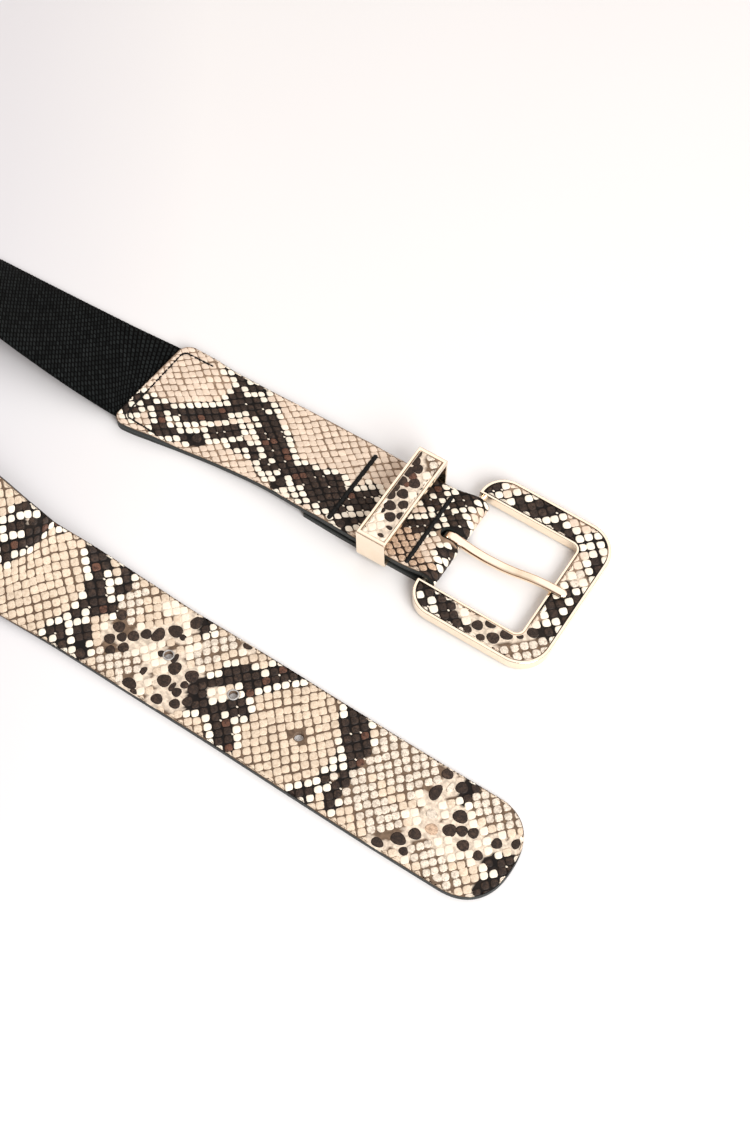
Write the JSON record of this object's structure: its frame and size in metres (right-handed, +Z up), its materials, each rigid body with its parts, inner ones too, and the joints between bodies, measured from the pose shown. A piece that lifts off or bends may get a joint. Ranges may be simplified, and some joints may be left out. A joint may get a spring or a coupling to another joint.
{
  "type": "elastic belt",
  "caption": "Waist belt of snake-print leather ends joined by wide black elastic, with a gold frame buckle, prong and keeper",
  "frame": {"origin": "centre of the bounding box's underside, on the surface the belt lies on", "axes": "+X runs along the leather ends towards the tip and buckle, +Y from the tip strap to the buckle, +Z is up"},
  "size_m": [0.4436, 0.141, 0.0369],
  "materials": {
    "print_leather": "embossed snake print, satin",
    "elastic": "ribbed woven elastic, matte",
    "gold_plate": "polished light gold plate on zinc"
  },
  "bodies": {
    "belt": {"elastic_webbing": "elastic", "buckle_tab": "print_leather", "tip_strap": "print_leather"},
    "buckle": {"buckle_frame": "gold_plate", "buckle_inlay": "print_leather"},
    "prong": {"prong": "gold_plate"},
    "keeper": {"keeper": "gold_plate", "keeper_inlay": "print_leather"}
  },
  "joints": [
    {"name": "buckle_hinge", "type": "hinge", "parent": "belt", "child": "buckle", "pos_m": [0.14363, 0.03972, 0.0039], "axis": [0, -1, 0], "range_deg": [-60, 25]},
    {"name": "prong_hinge", "type": "hinge", "parent": "buckle", "child": "prong", "pos_m": [0.14363, 0.03972, 0.0039], "axis": [0, -1, 0], "range_deg": [0, 85]},
    {"name": "keeper_slide", "type": "slide", "parent": "belt", "child": "keeper", "axis": [1, 0, 0], "range_m": [-0.013, 0.004]}
  ]
}
